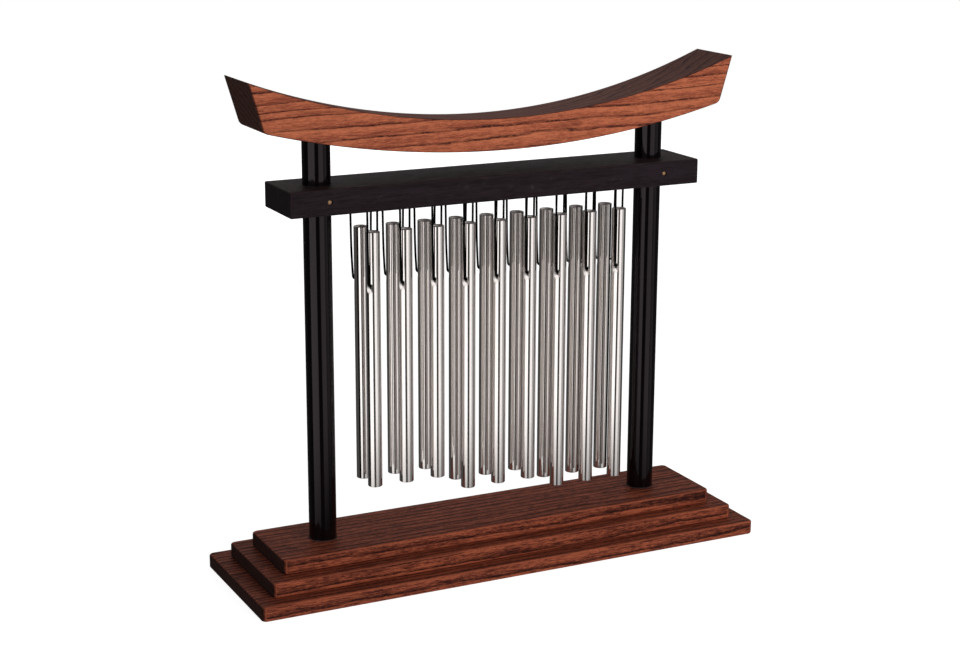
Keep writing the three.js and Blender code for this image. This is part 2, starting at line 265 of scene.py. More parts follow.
class Finish:
    """A procedural material, written node by node."""

    def __init__(self, name, owner=None):
        self.material = owner or bpy.data.materials.new(name)
        self.material.use_nodes = True
        self.tree = self.material.node_tree
        self.tree.nodes.clear()

    def node(self, kind, settings=None, inputs=None, output=0):
        """Adds one node: its settings first, then the values or links of its sockets."""
        made = self.tree.nodes.new(kind)
        for name, value in (settings or {}).items():
            if name == "stops":
                self.set_stops(made.color_ramp, value)
            else:
                setattr(made, name, value)
        for name, value in (inputs or {}).items():
            if isinstance(value, Value):
                self.tree.links.new(value.socket, made.inputs[name])
            else:
                made.inputs[name].default_value = value
        return Value(self, made.outputs[output]) if made.outputs else made

    def set_stops(self, ramp, stops):
        while len(ramp.elements) < len(stops):
            ramp.elements.new(1.0)
        for element, (position, colour) in zip(ramp.elements, stops):
            element.position = position
            element.color = (*colour, 1)

    def math(self, operation, left, right=0.0):
        return self.node("ShaderNodeMath", {"operation": operation}, {0: left, 1: right})

    def vector(self, operation, left, right=None, scale=None):
        inputs = {0: left}
        if right is not None:
            inputs[1] = right
        if scale is not None:
            inputs["Scale"] = scale
        return self.node("ShaderNodeVectorMath", {"operation": operation}, inputs)

    def smooth(self, value, low, high):
        """0 below low, 1 above high, and an even rise between them."""
        return self.node(
            "ShaderNodeMapRange",
            {"interpolation_type": "SMOOTHSTEP"},
            {"Value": value, "From Min": low, "From Max": high},
        )

    def mix(self, share, first, second):
        """A blend of two colours."""
        colours = {6: colour_input(first), 7: colour_input(second)}
        return self.node(
            "ShaderNodeMix", {"data_type": "RGBA"}, {0: share, **colours}, output=2
        )

    def place(self):
        """The point being shaded, in millimetres on the object's own axes."""
        spot = self.node("ShaderNodeTexCoord", output="Object")
        return self.vector("SCALE", spot, scale=1 / MM)

    def noise(self, place, sizes, detail=2.0, roughness=0.5, offset=(0, 0, 0), output=0):
        """Noise whose grains have the given sizes in millimetres along X, Y and Z."""
        moved = self.vector("ADD", place, offset)
        spread = self.vector("MULTIPLY", moved, tuple(1 / size for size in sizes))
        return self.node(
            "ShaderNodeTexNoise",
            {},
            {"Vector": spread, "Scale": 1.0, "Detail": detail, "Roughness": roughness},
            output=output,
        )

    def axes(self, place):
        split = self.tree.nodes.new("ShaderNodeSeparateXYZ")
        self.tree.links.new(place.socket, split.inputs[0])
        return [Value(self, output) for output in split.outputs]

    def attribute(self, name):
        return self.node("ShaderNodeAttribute", {"attribute_name": name}, output="Fac")

    def bump(self, height, distance, strength):
        return self.node(
            "ShaderNodeBump", {}, {"Height": height, "Distance": distance, "Strength": strength}
        )

    def surface(self, **inputs):
        """The closing Principled shader. Names are its sockets' names with underscores."""
        named = {name.replace("_", " "): value for name, value in inputs.items()}
        shader = self.node("ShaderNodeBsdfPrincipled", {}, named)
        self.node("ShaderNodeOutputMaterial", {}, {"Surface": shader})
        return self.material


def colour_input(colour):
    return colour if isinstance(colour, Value) else (*tuple(colour)[:3], 1)


# Mesh helpers

def box_mesh(low, high, rounding, segments=4, corner=0.0):
    """A block between two corners with rounded edges, and wider rounded upright edges if asked."""
    mesh = bmesh.new()
    bmesh.ops.create_cube(mesh, size=1)
    size = Vector(high) - Vector(low)
    bmesh.ops.scale(mesh, vec=size, verts=mesh.verts)
    bmesh.ops.translate(mesh, vec=(Vector(low) + Vector(high)) / 2, verts=mesh.verts)
    if corner:
        upright = [edge for edge in mesh.edges if edge.verts[0].co.z != edge.verts[1].co.z]
        bmesh.ops.bevel(
            mesh, geom=upright, offset=corner, segments=6, profile=0.5, affect="EDGES", material=-1
        )
        flat = [edge for edge in mesh.edges if edge.verts[0].co.z == edge.verts[1].co.z]
    else:
        flat = mesh.edges[:]
    bmesh.ops.bevel(
        mesh, geom=flat, offset=rounding, segments=segments, profile=0.5,
        affect="EDGES", material=-1
    )
    return mesh


def turned_mesh(profile, steps, closed=False):
    """A body turned about the Z axis from [radius, height] points."""
    mesh = bmesh.new()
    verts = [mesh.verts.new((radius, 0, height)) for radius, height in profile]
    edges = [mesh.edges.new(pair) for pair in zip(verts, verts[1:])]
    if closed:
        edges.append(mesh.edges.new((verts[-1], verts[0])))
    bmesh.ops.spin(
        mesh, geom=verts + edges, axis=(0, 0, 1), cent=(0, 0, 0), dvec=(0, 0, 0),
        angle=2 * math.pi, steps=steps, use_merge=True, use_duplicate=False
    )
    bmesh.ops.remove_doubles(mesh, verts=mesh.verts, dist=1e-7)
    bmesh.ops.recalc_face_normals(mesh, faces=mesh.faces)
    return mesh


def joined(meshes):
    """Several meshes as one."""
    whole = bmesh.new()
    for mesh in meshes:
        part = bpy.data.meshes.new("part")
        mesh.to_mesh(part)
        mesh.free()
        whole.from_mesh(part)
        bpy.data.meshes.remove(part)
    return whole


def moved(mesh, offset):
    bmesh.ops.translate(mesh, vec=offset, verts=mesh.verts)
    return mesh


def rotated(mesh, angle, axis):
    bmesh.ops.rotate(mesh, cent=(0, 0, 0), matrix=Matrix.Rotation(angle, 3, axis), verts=mesh.verts)
    return mesh


def linked(name, data):
    """A new object in the scene."""
    made = bpy.data.objects.new(name, data)
    bpy.context.scene.collection.objects.link(made)
    return made


def object_of(name, mesh):
    data = bpy.data.meshes.new(name)
    mesh.to_mesh(data)
    mesh.free()
    return linked(name, data)


def cut_away(mesh, cutter):
    """The mesh of a body with a cutter taken out of it."""
    body = object_of("body", mesh)
    tool = object_of("cutter", cutter)
    modifier = body.modifiers.new("cut", "BOOLEAN")
    modifier.operation = "DIFFERENCE"
    modifier.solver = "EXACT"
    modifier.object = tool
    depsgraph = bpy.context.evaluated_depsgraph_get()
    result = bmesh.new()
    result.from_object(body, depsgraph)
    for used in (body, tool):
        data = used.data
        bpy.data.objects.remove(used)
        bpy.data.meshes.remove(data)
    return result


def note_faces(data, curved):
    """Marks the end grain, upper side and eased edges of a wooden piece, flat or bent along X. On a bent
    piece the end grain mark also takes in the sloping arms, for painted shade.
    """
    # On a bent piece the mark starts at a gentler slope, so that the arms' sloping faces are darkened too:
    # painted shade.
    first_slope = 0.2 if curved else 0.4
    names = ("end_grain", "upward", "eased")
    notes = {name: data.attributes.new(name, "FLOAT", "FACE") for name in names}
    for face in data.polygons:
        along, across, up = face.normal
        notes["end_grain"].data[face.index].value = min(
            max((abs(along) - first_slope) / (0.8 - first_slope), 0), 1
        )
        notes["upward"].data[face.index].value = min(max((up - 0.3) / 0.5, 0), 1)
        if curved:
            straight = max(abs(across), math.hypot(along, up))
        else:
            straight = max(abs(along), abs(across), abs(up))
        notes["eased"].data[face.index].value = 1 if straight < 0.965 else 0


def finished(name, mesh, material, body, replaced, sharp=35, wooden=False, curved=False):
    """Makes the piece that is shown, with smooth shading, its finish and its place on the frame."""
    piece = object_of(name, mesh)
    piece.data.materials.append(material)
    piece.data.shade_smooth()
    piece.data.set_sharp_from_angle(angle=math.radians(sharp))
    if wooden:
        note_faces(piece.data, curved)
    weighted = piece.modifiers.new("weighted normals", "WEIGHTED_NORMAL")
    weighted.keep_sharp = True
    weighted.weight = 100
    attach(piece, body)
    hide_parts(*replaced)
    return piece


# Finishes

def stained_ash(name, pith, ring_gap, tones, seed, wander, rise=0.0, broken=(0.6, 0.5),
                pore_band=(0.12, 0.28), streaks=0.4, edge=None, top=None, sheen=0.22):
    """Ring-porous wood along X: rings round a pith line, dark broken pore lines, fine fibres, with painted
    light and shade on the rounded edges and painted shade on the upper side.

    The pith's place and the gap between rings are in millimetres.
    """
    pale, body, dark = tones
    finish = Finish(name)
    place = finish.vector("ADD", finish.place(), (seed * 37.0, 0, 0))
    slow = finish.noise(place, (70, 26, 26), detail=2, output="Color")
    drift = finish.vector("SCALE", finish.vector("SUBTRACT", slow, (0.5, 0.5, 0.5)), scale=4 * wander)
    quick = finish.noise(place, (14, 6, 6), detail=3, output="Color")
    ripple = finish.vector("SCALE", finish.vector("SUBTRACT", quick, (0.5, 0.5, 0.5)), scale=wander)
    bent = finish.vector("ADD", finish.vector("ADD", place, drift), ripple)
    along, depth, height = finish.axes(bent)
    across = depth - pith[0]
    above = height - pith[1] - along * rise
    radius = (across * across + above * above) ** 0.5
    uneven = finish.noise(place, (300, 9, 9), detail=1, offset=(0, 4, 4))
    turn = finish.math("FRACT", radius / ring_gap + uneven * 1.2)
    # The open pores start each ring sharply and thin out through it.
    early = finish.smooth(turn, 0.0, 0.05) * (1 - finish.smooth(turn, *pore_band))
    late = finish.smooth(turn, 0.3, 0.95)
    dashes = finish.smooth(finish.noise(place, (2.6, 0.36, 0.36), detail=3, roughness=0.6), 0.38, 0.52)
    runs = finish.smooth(finish.noise(place, (12, 1.1, 1.1), detail=2, offset=(11, 3, 7)), 0.36, 0.58)
    line = early * (1 - broken[0] * (1 - dashes)) * (1 - broken[1] * (1 - runs))
    stray = finish.smooth(finish.noise(place, (9, 0.62, 0.62), detail=3, offset=(5, 9, 2)), 0.5, 0.64)
    darkness = finish.math("MAXIMUM", line * 0.97, stray * (streaks - 0.2 * late))
    fibres = finish.noise(place, (3, 0.6, 0.6), detail=4, roughness=0.8, offset=(3, 1, 8))
    bands = finish.noise(place, (46, 2.6, 2.6), detail=3, roughness=0.6, offset=(2, 5, 1))
    tone = finish.smooth(fibres * 0.66 + bands * 0.34 + late * 0.05, 0.40, 0.64)
    colour = finish.mix(tone, body, pale)
    colour = finish.mix(darkness, colour, dark)
    end_grain = finish.attribute("end_grain")
    eased = finish.attribute("eased")
    upward = finish.attribute("upward")
    # Painted highlight: the boards' rounded edges are mixed towards the pale colour; on the beam the edge
    # colour paints a dark shade line instead.
    painted_edge_share = 0.7 if edge else 0.5
    colour = finish.mix(eased * (1 - end_grain) * painted_edge_share, colour, edge or pale)
    # End grain is darker, as it takes up more stain; on the bent beam this mark also paints shade on the
    # sloping arms.
    colour = finish.mix(end_grain * 0.88, colour, tuple(0.4 * part for part in dark))
    # Painted shade: faces that point up are mixed towards the top colour, as if less light fell on them.
    if top:
        colour = finish.mix(upward * 0.64, colour, top)
    rough = 0.44 + 0.2 * darkness + 0.34 * end_grain + 0.06 * fibres
    relief = (1 - darkness) * 0.8 + fibres * 0.2
    return finish.surface(
        Base_Color=colour,
        Roughness=rough,
        Normal=finish.bump(relief, 0.18 * MM, 0.5),
        Specular_IOR_Level=sheen,
    )


def black_ash(colour, top_sheen_colour, rubbed_colour):
    """The crossbar's black stain, satin, with a faint open grain and a painted sheen on its upper side."""
    finish = Finish("black_stained_ash")
    place = finish.place()
    pores = finish.smooth(finish.noise(place, (9, 0.45, 0.45), detail=3, roughness=0.65), 0.46, 0.68)
    bands = finish.smooth(finish.noise(place, (90, 3.2, 3.2), detail=2, offset=(4, 2, 9)), 0.35, 0.65)
    rubbed = finish.smooth(finish.noise(place, (7, 5, 5), detail=3, offset=(6, 6, 6)), 0.62, 0.8)
    pale = tuple(1.8 * part + 0.002 for part in colour)
    tone = finish.mix(bands * 0.5, colour, pale)
    tone = finish.mix(rubbed * 0.5, tone, rubbed_colour)
    # Painted sheen: faces that point up are lightened towards the top colour, as a reflection of the
    # bright surroundings.
    tone = finish.mix(finish.attribute("upward") * 0.6, tone, top_sheen_colour)
    tone = finish.mix(pores * 0.7, tone, tuple(0.3 * part for part in colour))
    return finish.surface(
        Base_Color=tone,
        Roughness=0.42 + 0.16 * pores - 0.08 * rubbed,
        Normal=finish.bump(1 - pores, 0.12 * MM, 0.35),
        Specular_IOR_Level=0.16,
        Specular_Tint=(1.0, 0.88, 0.9, 1),
    )


def gloss_lacquer(colour):
    """The posts' black lacquer, with a slight unevenness from the brush."""
    finish = Finish("black_lacquer")
    place = finish.place()
    uneven = finish.noise(place, (6, 6, 40), detail=2)
    dust = finish.smooth(finish.noise(place, (0.5, 0.5, 0.5), detail=1, offset=(3, 3, 3)), 0.7, 0.8)
    return finish.surface(
        Base_Color=finish.mix(dust * 0.25, colour, tuple(5 * part + 0.01 for part in colour)),
        Roughness=0.07 + 0.07 * uneven + 0.2 * dust,
        Normal=finish.bump(uneven, 0.1 * MM, 0.15),
        Specular_IOR_Level=0.29,
        Specular_Tint=(1.0, 0.84, 0.92, 1),
    )


def polished_metal(colour, bore_grey):
    """Drawn and polished tube, with faint lines along it, and a duller bore, cut ends and mouths.

    Seen in another tube it is more matt, so the rows don't mirror each other without end.
    """
    finish = Finish("polished_tube")
    place = finish.place()
    drawn = finish.noise(place, (0.9, 0.9, 900), detail=1)
    cloud = finish.smooth(finish.noise(place, (11, 11, 22), detail=2, offset=(8, 2, 4)), 0.45, 0.75)
    bore = finish.attribute("bore")
    cut = finish.attribute("cut_end")
    drilled = finish.attribute("drilled")
    seen_in_metal = finish.node("ShaderNodeLightPath", output="Is Glossy Ray")
    shade = finish.mix(cloud * 0.08 + drawn * 0.06, colour, tuple(0.7 * part for part in colour))
    shade = finish.mix(bore, shade, bore_grey)
    return finish.surface(
        Base_Color=shade,
        Metallic=(1 - 0.95 * bore - 0.7 * cut) * (1 - 0.68 * seen_in_metal),
        Roughness=0.07 + 0.03 * cloud + 0.02 * drawn + 0.45 * bore + 0.2 * cut + 0.26 * drilled,
    )


def note_tube_faces(data, centre, inner):
    """Marks the faces of a tube's bore, of its cut ends and of its drilled mouths."""
    bore = data.attributes.new("bore", "FLOAT", "FACE")
    cut = data.attributes.new("cut_end", "FLOAT", "FACE")
    drilled = data.attributes.new("drilled", "FLOAT", "FACE")
    for face in data.polygons:
        offset = face.center - centre
        radial = Vector((offset.x, offset.y, 0))
        inward = radial.length < inner * 1.002 and face.normal.dot(radial) < 0
        bore.data[face.index].value = 1 if inward else 0
        cut.data[face.index].value = 1 if abs(face.normal.z) > 0.9 else 0
        straight = abs(face.normal.dot(radial.normalized()))
        drilled.data[face.index].value = 1 if straight < 0.98 and abs(face.normal.z) < 0.9 else 0


def twisted_cord(colour):
    finish = Finish("black_cord")
    fuzz = finish.noise(finish.place(), (0.12, 0.12, 0.3), detail=2)
    return finish.surface(
        Base_Color=finish.mix(fuzz, colour, tuple(2.4 * part for part in colour)),
        Roughness=0.62 + 0.25 * fuzz,
        Normal=finish.bump(fuzz, 0.03 * MM, 0.5),
        Specular_IOR_Level=0.06,
    )


def nail_brass():
    finish = Finish("tarnished_brass")
    tarnish = finish.noise(finish.place(), (0.7, 0.7, 0.7), detail=3)
    return finish.surface(
        Base_Color=finish.mix(tarnish, srgb(222, 176, 132), srgb(112, 78, 54)),
        Metallic=1.0,
        Roughness=0.25 + 0.3 * tarnish,
    )


def screw_steel():
    finish = Finish("plated_steel")
    wear = finish.noise(finish.place(), (1.4, 1.4, 1.4), detail=4)
    return finish.surface(
        Base_Color=finish.mix(wear, srgb(176, 176, 172), srgb(120, 118, 112)),
        Metallic=1.0,
        Roughness=0.28 + 0.25 * wear,
    )


# Shapes

def at_posts(profile, steps):
    """The same turned body at both posts."""
    return [moved(turned_mesh(profile, steps), (spot.x, spot.y, 0)) for spot in POST_PLACES]


def post_cylinders(bottom, top, clearance):
    """Cutters that clear both posts between two heights."""
    radius = POST_RADIUS + clearance
    return at_posts([[0, bottom], [radius, bottom], [radius, top], [0, top]], steps=64)


def countersunk_profile(clearance):
    """The outline of a screw under a post, from its head upwards."""
    low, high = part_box("post_screw_left")
    head = (high.x - low.x) / 2 + clearance
    shank = head / 2
    return [
        [0, low.z - clearance],
        [head, low.z - clearance],
        [head, low.z + SCREW_RIM],
        [shank, low.z + SCREW_RIM + head - shank],
        [shank, high.z - SCREW_POINT],
        [0, high.z + clearance],
    ]


def pin_bores(clearance):
    """Cutters for the crossbar's two pins, each with a shallow recess round its head."""
    cutters = []
    for side in ("left", "right"):
        low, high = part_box(f"crossbar_pin_{side}")
        head = (high.x - low.x) / 2 + clearance
        shank = head * PIN_SHANK_SHARE
        length = high.y - low.y
        profile = [
            [0, -PAST], [head, -PAST], [head, PIN_HEAD_HEIGHT], [shank, PIN_HEAD_HEIGHT],
            [shank, length], [0, length + clearance],
        ]
        bore = rotated(turned_mesh(profile, steps=24), -math.pi / 2, "X")
        cutters.append(moved(bore, ((low.x + high.x) / 2, low.y, (low.z + high.z) / 2)))
    return cutters


def screw_bores(clearance):
    """Cutters for the screws under the posts, open at the bottom."""
    profile = countersunk_profile(clearance)
    profile[0][1] = profile[1][1] = -PAST
    return at_posts(profile, steps=40)


def beam_underside(x, settings):
    radius = settings.underside_radius
    return BEAM_LOW.z + radius - math.sqrt(radius * radius - x * x)


def arc_chain(mesh, reach, radius, bottom, steps):
    """An arc of edges across the middle, made by turning one end point about the arc's centre."""
    sweep = math.asin(reach / radius)
    centre = Vector((0, 0, bottom + radius))
    start = mesh.verts.new((-reach, 0, bottom + radius - radius * math.cos(sweep)))
    bmesh.ops.spin(
        mesh, geom=[start], cent=centre, axis=(0, -1, 0), dvec=(0, 0, 0), angle=2 * sweep,
        steps=steps, use_merge=False, use_duplicate=False
    )


def beam_mesh(settings):
    """Two arcs joined into a face, drawn out to the beam's depth, with corners and edges eased.

    Last, the middle of the top is tilted towards the back.
    """
    steps = 72
    mesh = bmesh.new()
    arc_chain(mesh, settings.lower_reach, settings.underside_radius, BEAM_LOW.z, steps)
    lower = mesh.edges[:]
    top_bottom = BEAM_LOW.z + settings.beam_thickness
    arc_chain(mesh, BEAM_HIGH.x, settings.top_radius, top_bottom, steps)
    upper = [edge for edge in mesh.edges if edge not in lower]
    bmesh.ops.bridge_loops(mesh, edges=lower + upper)
    faces = mesh.faces[:]
    drawn = bmesh.ops.extrude_face_region(mesh, geom=faces)
    far = [item for item in drawn["geom"] if isinstance(item, bmesh.types.BMVert)]
    bmesh.ops.translate(mesh, vec=(0, BEAM_HIGH.y - BEAM_LOW.y, 0), verts=far)
    bmesh.ops.translate(mesh, vec=(0, BEAM_LOW.y, 0), verts=mesh.verts)
    bmesh.ops.recalc_face_normals(mesh, faces=mesh.faces)
    corner_height = beam_underside(settings.lower_reach, settings)
    corners = [edge for edge in mesh.edges if is_lower_corner(edge, settings.lower_reach, corner_height)]
    bmesh.ops.bevel(
        mesh, geom=corners, offset=settings.beam_corner * 0.75, segments=5, profile=0.5,
        affect="EDGES", material=-1
    )
    outline = [edge for edge in mesh.edges if edge.calc_face_angle(0) > math.radians(30)]
    bmesh.ops.bevel(
        mesh, geom=outline, offset=settings.beam_rounding, segments=3, profile=0.5,
        affect="EDGES", material=-1
    )
    for vert in mesh.verts:
        share = (vert.co.z - beam_underside(vert.co.x, settings)) / settings.beam_thickness
        inwards = 1 - (vert.co.x / BEAM_HIGH.x) ** 2
        backwards = vert.co.y / (BEAM_HIGH.y - BEAM_LOW.y)
        vert.co.z -= settings.top_slope * backwards * inwards * min(max(share, 0), 1)
    return mesh


def is_lower_corner(edge, reach, height):
    near = 1e-5
    return all(abs(abs(v.co.x) - reach) < near and abs(v.co.z - height) < near for v in edge.verts)


def tube_mesh(length, settings, outer):
    """A tube that hangs from height 0, with its cut ends eased."""
    inner = outer - settings.wall
    ease = settings.end_break
    profile = [
        [inner, -length + ease], [inner + ease, -length], [outer - ease, -length],
        [outer, -length + ease], [outer, -ease], [outer - ease, 0], [inner + ease, 0], [inner, -ease],
    ]
    return turned_mesh(profile, settings.sides, closed=True)


def drill_meshes(settings, outer, height):
    """Cutters for a tube's cross hole at a height, along X, and for its two flared mouths."""
    bore = settings.hole_diameter / 2
    spread = math.tan(settings.mouth_angle / 2)
    tip = outer - settings.hole_mouth / 2 / spread
    reach = outer + PAST
    wide = (reach - tip) * spread
    drill = turned_mesh([[0, -reach], [bore, -reach], [bore, reach], [0, reach]], steps=40)
    moved(rotated(drill, math.pi / 2, "Y"), (0, 0, height))
    mouths = []
    for end in (-1, 1):
        mouth = turned_mesh([[0, end * tip], [wide, end * reach], [0, end * reach]], steps=40)
        mouths.append(moved(rotated(mouth, math.pi / 2, "Y"), (0, 0, height - settings.mouth_drop)))
    return drill, joined(mouths)


def cord_route(node, swing, nod, outer, diameter, bow):
    """Points down one side of a tube, through its cross holes and up the other side."""
    top = swing["pos_m"][2]
    run = nod["pos_m"][2]
    along = Vector(swing["axis"]).normalized()
    low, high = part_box(node)
    reach = ((high.x - low.x) / 2 - diameter / 2) / abs(along.x)
    bend = 1.2 * MM
    gap = 0.15 * MM
    bend_x = outer + gap + diameter / 2 - bend
    lean = math.atan2(reach - bend_x, top - run - bend)
    lean -= math.asin(bend / math.hypot(reach - bend_x, top - run - bend))
    half = [(bend_x * share, run) for share in (0.35, 0.7)]
    for step in range(7):
        angle = step / 6 * (math.pi / 2 - lean) - math.pi / 2
        half.append((bend_x + bend * math.cos(angle), run + bend + bend * math.sin(angle)))
    start_x, start_z = half[-1]
    for step in range(1, 13):
        share = step / 12
        bulge = bow * math.sin(math.pi * share) * (1 - share)
        half.append((start_x + (reach - start_x) * share + bulge, start_z + (top - start_z) * share))
    half.append((reach, BAR_LOW.z + CORD_TUCK))
    route = [(-x, z) for x, z in reversed(half)] + [(0, run)] + half
    origin = Vector((nod["pos_m"][0], nod["pos_m"][1], 0))
    return [origin + along * x + Vector((0, 0, z)) for x, z in route]


def strand_outline(radius):
    """The cross-section of three strands laid together, as a closed flat curve."""
    strand = radius * 0.85
    offset = radius - strand
    outline = bpy.data.curves.new("strand_outline", "CURVE")
    outline.dimensions = "2D"
    spline = outline.splines.new("POLY")
    steps = 15
    spline.points.add(steps - 1)
    for index, point in enumerate(spline.points):
        angle = 2 * math.pi * index / steps
        from_strand = (angle + math.pi / 3) % (2 * math.pi / 3) - math.pi / 3
        side = offset * math.sin(from_strand)
        reach = offset * math.cos(from_strand) + math.sqrt(strand * strand - side * side)
        point.co = (reach * math.cos(angle), reach * math.sin(angle), 0, 1)
    spline.use_cyclic_u = True
    return linked("strand_outline", outline)


def cord_mesh(route, outline, twist):
    """A laid cord: the strands' outline drawn along a route, turning as it goes."""
    step = 0.3 * MM
    points = evenly_spaced(route, step)
    line = bpy.data.curves.new("cord_line", "CURVE")
    line.dimensions = "3D"
    line.twist_mode = "MINIMUM"
    line.bevel_mode = "OBJECT"
    line.bevel_object = outline
    line.use_fill_caps = True
    spline = line.splines.new("POLY")
    spline.points.add(len(points) - 1)
    for index, (point, place) in enumerate(zip(spline.points, points)):
        point.co = (*place, 1)
        point.tilt = 2 * math.pi * index * step / twist
    drawn = linked("cord_line", line)
    data = bpy.data.meshes.new_from_object(drawn.evaluated_get(bpy.context.evaluated_depsgraph_get()))
    bpy.data.objects.remove(drawn)
    mesh = bmesh.new()
    mesh.from_mesh(data)
    bpy.data.meshes.remove(data)
    bmesh.ops.remove_doubles(mesh, verts=mesh.verts, dist=1e-7)
    bmesh.ops.recalc_face_normals(mesh, faces=mesh.faces)
    return mesh


def evenly_spaced(route, step):
    """Points at even steps along a chain of points."""
    points = [route[0].copy()]
    carried = 0.0
    for start, end in zip(route, route[1:]):
        length = (end - start).length
        travelled = step - carried
        while travelled <= length:
            points.append(start.lerp(end, travelled / length))
            travelled += step
        carried = length - (travelled - step)
    points.append(route[-1].copy())
    return points


# Operators

class CHIME_OT_base(Operator):
    """Makes the three stepped boards of the base"""

    bl_idname = "chime.base"
    bl_label = "Base boards"

    def execute(self, context):
        wood = context.scene.chime_wood
        tones = (wood.base_pale, wood.base_body, wood.base_dark)
        # Piece, node, pith, gap between rings, seed
        boards = (
            ("lower_board", "base_board_lower", (190.0, -150.0), 2.9, 1),
            ("middle_board", "base_board_middle", (210.0, -150.0), 3.2, 2),
            ("upper_board", "base_board_upper", (240.0, -120.0), 4.2, 3),
        )
        clear = wood.bore_clearance
        for name, node, pith, ring_gap, seed in boards:
            low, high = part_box(node)
            mesh = box_mesh(low, high, wood.board_rounding, corner=wood.board_corner)
            if node == "base_board_upper":
                cutters = post_cylinders(low.z - PAST, high.z + PAST, clear)
            else:
                cutters = screw_bores(clear)
            mesh = cut_away(mesh, joined(cutters))
            material = stained_ash(
                "stained_" + name, pith, ring_gap, tones, seed, wander=0.8, broken=(0.45, 0.5),
                pore_band=(0.14, 0.42), streaks=0.78, sheen=0.16
            )
            finished(name, mesh, material, BODY, [node], wooden=True)
        return {"FINISHED"}


class CHIME_OT_posts(Operator):
    """Makes the two round posts"""

    bl_idname = "chime.posts"
    bl_label = "Posts"

    def execute(self, context):
        wood = context.scene.chime_wood
        material = gloss_lacquer(wood.lacquer)
        for node, spot in zip(POST_NODES, POST_PLACES):
            low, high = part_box(node)
            eased = POST_RADIUS - POST_EASE
            profile = [
                [0, low.z], [eased, low.z], [POST_RADIUS, low.z + POST_EASE],
                [POST_RADIUS, high.z - POST_EASE], [eased, high.z], [0, high.z],
            ]
            mesh = moved(turned_mesh(profile, steps=96), (spot.x, spot.y, 0))
            name = node.replace("post", "lacquered_post")
            cutters = screw_bores(wood.bore_clearance) + pin_bores(wood.bore_clearance)
            mesh = cut_away(mesh, joined(cutters))
            finished(name, mesh, material, BODY, [node])
            bead = foot_bead(spot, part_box("base_board_upper")[1].z)
            finished(node.replace("post", "foot_bead"), bead, material, BODY, [])
        return {"FINISHED"}


def foot_bead(spot, board_top):
    """The uneven bead of lacquer that has run down to a post's foot."""
    inside = POST_RADIUS - 0.1 * MM
    profile = [
        [inside, 0], [POST_RADIUS + BEAD_WIDTH, 0],
        [POST_RADIUS + BEAD_WIDTH * 0.75, BEAD_WIDTH * 0.45],
        [POST_RADIUS + BEAD_WIDTH * 0.2, BEAD_WIDTH], [inside, BEAD_WIDTH * 1.1],
    ]
    mesh = turned_mesh(profile, steps=160, closed=True)
    for vert in mesh.verts:
        outward = Vector((vert.co.x, vert.co.y, 0))
        spare = outward.length - POST_RADIUS
        swell = 1 + 0.9 * noise.noise(Vector((vert.co.x, vert.co.y, spot.x)) / BEAD_LUMP)
        vert.co += outward.normalized() * spare * (swell - 1)
        vert.co.z *= swell
    return moved(mesh, (spot.x, spot.y, board_top))


class CHIME_OT_crossbar(Operator):
    """Makes the black bar that carries the tubes"""

    bl_idname = "chime.crossbar"
    bl_label = "Crossbar"

    def execute(self, context):
        wood = context.scene.chime_wood
        tube = context.scene.chime_tubes
        mesh = box_mesh(BAR_LOW, BAR_HIGH, wood.bar_rounding)
        cutters = post_cylinders(BAR_LOW.z - PAST, BAR_HIGH.z + PAST, wood.bore_clearance)
        cutters += pin_bores(PIN_CLEARANCE)
        radius = tube.cord_diameter / 2 + CORD_HOLE_CLEARANCE
        bottom, top = BAR_LOW.z - PAST, BAR_LOW.z + CORD_HOLE_DEPTH
        profile = [[0, bottom], [radius, bottom], [radius, top], [0, top]]
        for row, number in TUBES:
            for spot in cord_ends(row, number):
                cutters.append(moved(turned_mesh(profile, steps=20), spot))
        mesh = cut_away(mesh, joined(cutters))
        material = black_ash(wood.black_stain, wood.black_top_sheen, wood.black_rubbed)
        finished("black_crossbar", mesh, material, BODY, ["crossbar"], wooden=True)
        return {"FINISHED"}


def cord_ends(row, number):
    """The two points of the crossbar's underside where a cord goes in, at height 0."""
    swing = joint_named(f"swing_{row}_{number}")
    low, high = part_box(f"cord_{row}_{number}")
    along = Vector(swing["axis"]).normalized()
    reach = ((high.x - low.x) / 2 - bpy.context.scene.chime_tubes.cord_diameter / 2) / abs(along.x)
    centre = Vector((swing["pos_m"][0], swing["pos_m"][1], 0))
    return [centre - along * reach, centre + along * reach]


class CHIME_OT_top_beam(Operator):
    """Makes the curved beam on top of the posts"""

    bl_idname = "chime.top_beam"
    bl_label = "Top beam"

    def execute(self, context):
        wood = context.scene.chime_wood
        tones = (wood.beam_pale, wood.beam_body, wood.beam_dark)
        cutters = post_cylinders(BAR_HIGH.z, POST_TOP + wood.bore_clearance, wood.bore_clearance)
        mesh = cut_away(beam_mesh(wood), joined(cutters))
        middle = (BEAM_LOW.z + BEAM_HIGH.z) / 2 / MM
        # The dark edge colour paints a shade line along the beam's rounded edges, and the top colour
        # paints shade on its upper side.
        material = stained_ash(
            "stained_top_beam", pith=(70.0, middle - 115.0), ring_gap=4.6, tones=tones, seed=5,
            wander=1.1, rise=0.02, edge=wood.beam_dark, top=wood.beam_top_shade
        )
        finished(
            "curved_top_beam", mesh, material, BODY, ["top_beam"], wooden=True, curved=True
        )
        return {"FINISHED"}


